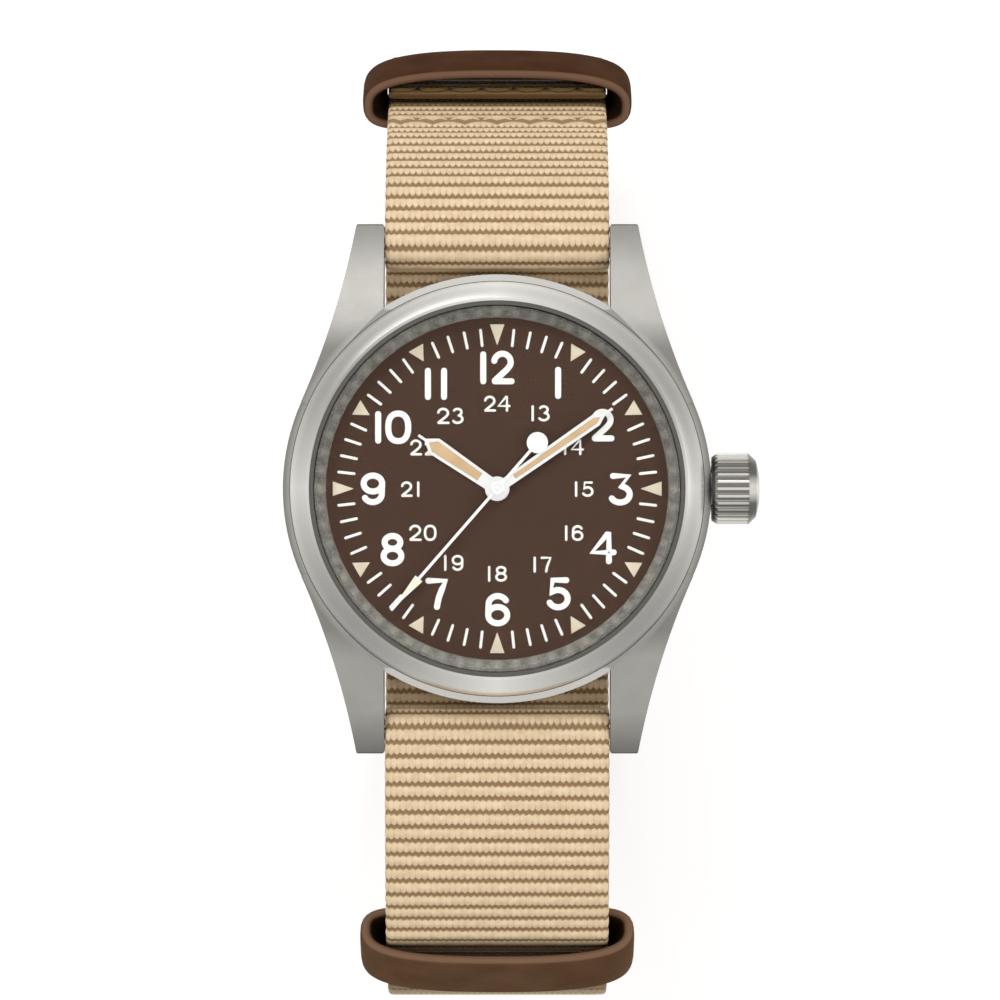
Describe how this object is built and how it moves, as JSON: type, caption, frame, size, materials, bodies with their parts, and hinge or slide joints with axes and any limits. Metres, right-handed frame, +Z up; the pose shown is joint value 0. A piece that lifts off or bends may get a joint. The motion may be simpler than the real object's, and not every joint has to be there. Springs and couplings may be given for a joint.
{
  "type": "field wristwatch",
  "caption": "Round hand-wound field wristwatch with a fluted crown, plain numbered dial, and a pass-through webbing strap closed in a loop with leather keepers.",
  "frame": {"origin": "on the plane that the closed strap rests on, straight under the axis of the hands", "axes": "+X towards the crown, +Y towards 12 o'clock, +Z up through the dial"},
  "size_m": [0.0424, 0.0878, 0.0632],
  "materials": {
    "steel_blasted": "bead blasted",
    "steel_polished": "polished",
    "spring_steel": "drawn",
    "hand_steel": "nickel plated",
    "hand_white": "matt",
    "dial_paint": "matt",
    "crystal_glass": "polished",
    "gasket_rubber": "matt",
    "ring_plastic": "matt",
    "movement_brass": "satin",
    "plated_brass": "nickel plated, satin",
    "jewel_stone": "polished",
    "strap_webbing": "ribbed weave",
    "keeper_leather": "matt"
  },
  "bodies": {
    "watch": {"mid_case": "steel_blasted", "case_back": "steel_blasted", "case_back_gasket": "gasket_rubber", "bezel": "steel_polished", "crystal": "crystal_glass", "crystal_gasket": "gasket_rubber", "rehaut_ring": "dial_paint", "movement_ring": "ring_plastic", "crown_tube": "steel_polished", "dial": "dial_paint", "click_spring": "spring_steel", "hairspring": "spring_steel", "main_plate": "plated_brass", "barrel_bridge": "plated_brass", "train_bridge": "plated_brass", "balance_cock": "plated_brass", "pallet_bridge": "plated_brass", "jewels": "jewel_stone", "movement_screws": "steel_polished", "spring_bar_tubes": "steel_polished", "spring_bar_springs": "spring_steel", "strap_main": "strap_webbing", "strap_under_layer": "strap_webbing", "buckle_bar": "steel_polished"},
    "crown_slider": {"crown_gasket": "gasket_rubber"},
    "crown_and_stem": {"crown": "steel_blasted", "winding_stem": "steel_polished"},
    "clutch": {"sliding_pinion": "steel_polished"},
    "winding_pinion": {"winding_pinion": "steel_polished"},
    "crown_wheel": {"crown_wheel": "steel_polished"},
    "ratchet": {"ratchet_wheel": "steel_polished", "barrel_arbor": "steel_polished"},
    "setting_lever": {"setting_lever": "steel_polished"},
    "yoke": {"yoke": "steel_polished"},
    "seconds": {"fourth_wheel": "movement_brass", "seconds_hand": "hand_white"},
    "third": {"third_wheel": "movement_brass"},
    "minutes": {"centre_wheel": "movement_brass", "cannon_pinion": "steel_polished", "minute_hand": "hand_steel"},
    "barrel": {"barrel_drum": "movement_brass", "barrel_cover": "movement_brass", "mainspring": "spring_steel"},
    "escape": {"escape_wheel": "steel_polished"},
    "minute_work": {"minute_wheel": "movement_brass"},
    "hours": {"hour_wheel": "movement_brass", "hour_hand": "hand_steel"},
    "setting_wheel": {"setting_wheel": "steel_polished"},
    "pallets": {"pallet_fork": "steel_polished"},
    "balance": {"balance_wheel": "movement_brass"},
    "click": {"click": "steel_polished"},
    "regulator": {"regulator": "steel_polished"},
    "plunger_1": {"spring_bar_plunger_1": "steel_polished"},
    "plunger_2": {"spring_bar_plunger_2": "steel_polished"},
    "plunger_3": {"spring_bar_plunger_3": "steel_polished"},
    "plunger_4": {"spring_bar_plunger_4": "steel_polished"},
    "top_keeper": {"top_keeper": "keeper_leather"},
    "bottom_keeper": {"bottom_keeper": "keeper_leather"},
    "buckle_frame": {"buckle_frame": "steel_blasted"},
    "buckle_tongue": {"buckle_tongue": "steel_blasted"}
  },
  "joints": [
    {"name": "crown_pull", "type": "slide", "parent": "watch", "child": "crown_slider", "axis": [1, 0, 0], "range_m": [0, 0.00065]},
    {"name": "crown_turn", "type": "hinge", "parent": "crown_slider", "child": "crown_and_stem", "pos_m": [0, 0, 0.05755], "axis": [1, 0, 0], "continuous": true},
    {"name": "clutch_slide", "type": "slide", "parent": "crown_and_stem", "child": "clutch", "axis": [1, 0, 0], "range_m": [-0.00126, 0]},
    {"name": "winding_pinion_turn", "type": "hinge", "parent": "watch", "child": "winding_pinion", "pos_m": [0, 0, 0.05755], "axis": [1, 0, 0], "continuous": true},
    {"name": "crown_wheel_turn", "type": "hinge", "parent": "watch", "child": "crown_wheel", "pos_m": [0.00617, 0, 0.0556], "axis": [0, 0, 1], "continuous": true},
    {"name": "ratchet_turn", "type": "hinge", "parent": "watch", "child": "ratchet", "pos_m": [0.00318, 0.00552, 0.0556], "axis": [0, 0, 1], "continuous": true},
    {"name": "setting_lever_swing", "type": "hinge", "parent": "watch", "child": "setting_lever", "pos_m": [0.011, 0.0029, 0.0565], "axis": [0, 0, 1], "range_deg": [0, 13]},
    {"name": "yoke_swing", "type": "hinge", "parent": "watch", "child": "yoke", "pos_m": [0.0102, -0.003, 0.05645], "axis": [0, 0, 1], "range_deg": [0, 13.3]},
    {"name": "seconds_turn", "type": "hinge", "parent": "watch", "child": "seconds", "pos_m": [0, 0, 0.0564], "axis": [0, 0, 1], "continuous": true},
    {"name": "third_turn", "type": "hinge", "parent": "watch", "child": "third", "pos_m": [-0.00369, -0.00258, 0.0567], "axis": [0, 0, 1], "continuous": true},
    {"name": "minutes_turn", "type": "hinge", "parent": "watch", "child": "minutes", "pos_m": [0, 0, 0.058], "axis": [0, 0, 1], "continuous": true},
    {"name": "barrel_turn", "type": "hinge", "parent": "watch", "child": "barrel", "pos_m": [0.00318, 0.00552, 0.0567], "axis": [0, 0, 1], "continuous": true},
    {"name": "escape_turn", "type": "hinge", "parent": "watch", "child": "escape", "pos_m": [0.00114, -0.00427, 0.05735], "axis": [0, 0, 1], "continuous": true},
    {"name": "minute_work_turn", "type": "hinge", "parent": "watch", "child": "minute_work", "pos_m": [0.00283, -0.00182, 0.0593], "axis": [0, 0, 1], "continuous": true},
    {"name": "hours_turn", "type": "hinge", "parent": "watch", "child": "hours", "pos_m": [0, 0, 0.0595], "axis": [0, 0, 1], "continuous": true},
    {"name": "setting_wheel_turn", "type": "hinge", "parent": "watch", "child": "setting_wheel", "pos_m": [0.00598, 0, 0.0587], "axis": [0, 0, 1], "continuous": true},
    {"name": "pallet_rock", "type": "hinge", "parent": "watch", "child": "pallets", "pos_m": [0.00364, -0.00518, 0.05735], "axis": [0, 0, 1], "range_deg": [-4.5, 4.5]},
    {"name": "balance_swing", "type": "hinge", "parent": "watch", "child": "balance", "pos_m": [0.00655, -0.00624, 0.05656], "axis": [0, 0, 1], "range_deg": [-270, 270], "stiffness_Nm_per_rad": 0.0000001},
    {"name": "click_lift", "type": "hinge", "parent": "watch", "child": "click", "pos_m": [0.00081, 0.00963, 0.0556], "axis": [0, 0, 1], "range_deg": [0, 8]},
    {"name": "regulator_turn", "type": "hinge", "parent": "watch", "child": "regulator", "pos_m": [0.00655, -0.00624, 0.0553], "axis": [0, 0, 1], "range_deg": [-12, 12]},
    {"name": "plunger_1_press", "type": "slide", "parent": "watch", "child": "plunger_1", "axis": [-1, 0, 0], "range_m": [0, 0.0009], "stiffness_N_per_m": 400, "springref_m": -0.001, "deforming": ["spring_bar_springs"]},
    {"name": "plunger_2_press", "type": "slide", "parent": "watch", "child": "plunger_2", "axis": [1, 0, 0], "range_m": [0, 0.0009], "stiffness_N_per_m": 400, "springref_m": -0.001, "deforming": ["spring_bar_springs"]},
    {"name": "plunger_3_press", "type": "slide", "parent": "watch", "child": "plunger_3", "axis": [-1, 0, 0], "range_m": [0, 0.0009], "stiffness_N_per_m": 400, "springref_m": -0.001, "deforming": ["spring_bar_springs"]},
    {"name": "plunger_4_press", "type": "slide", "parent": "watch", "child": "plunger_4", "axis": [1, 0, 0], "range_m": [0, 0.0009], "stiffness_N_per_m": 400, "springref_m": -0.001, "deforming": ["spring_bar_springs"]},
    {"name": "top_keeper_slide", "type": "slide", "parent": "watch", "child": "top_keeper", "axis": [0, 0.39, -0.9208], "range_m": [-0.0015, 0.0015]},
    {"name": "bottom_keeper_slide", "type": "slide", "parent": "watch", "child": "bottom_keeper", "axis": [0, -0.5132, -0.8583], "range_m": [0, 0.0015]},
    {"name": "buckle_swing", "type": "hinge", "parent": "watch", "child": "buckle_frame", "pos_m": [0, 0.0035, 0.00365], "axis": [1, 0, 0], "range_deg": [0, 2]},
    {"name": "tongue_swing", "type": "hinge", "parent": "buckle_frame", "child": "buckle_tongue", "pos_m": [0, 0.0035, 0.00365], "axis": [1, 0, 0], "range_deg": [0, 1.5]}
  ],
  "couplings": [
    {"joint": "clutch_slide", "follows": "crown_pull", "ratio": -1.9231},
    {"joint": "setting_lever_swing", "follows": "crown_pull", "rad_per_m": 346},
    {"joint": "yoke_swing", "follows": "crown_pull", "rad_per_m": 355},
    {"joint": "winding_pinion_turn", "follows": "crown_turn", "ratio": 1},
    {"joint": "crown_wheel_turn", "follows": "crown_turn", "ratio": 0.6},
    {"joint": "ratchet_turn", "follows": "crown_turn", "ratio": -0.5},
    {"joint": "third_turn", "follows": "seconds_turn", "ratio": -0.13333},
    {"joint": "minutes_turn", "follows": "seconds_turn", "ratio": 0.016667},
    {"joint": "barrel_turn", "follows": "seconds_turn", "ratio": -0.0027778},
    {"joint": "escape_turn", "follows": "seconds_turn", "ratio": -12},
    {"joint": "minute_work_turn", "follows": "seconds_turn", "ratio": -0.0055556},
    {"joint": "hours_turn", "follows": "seconds_turn", "ratio": 0.0013889},
    {"joint": "setting_wheel_turn", "follows": "seconds_turn", "ratio": 0.0125}
  ]
}
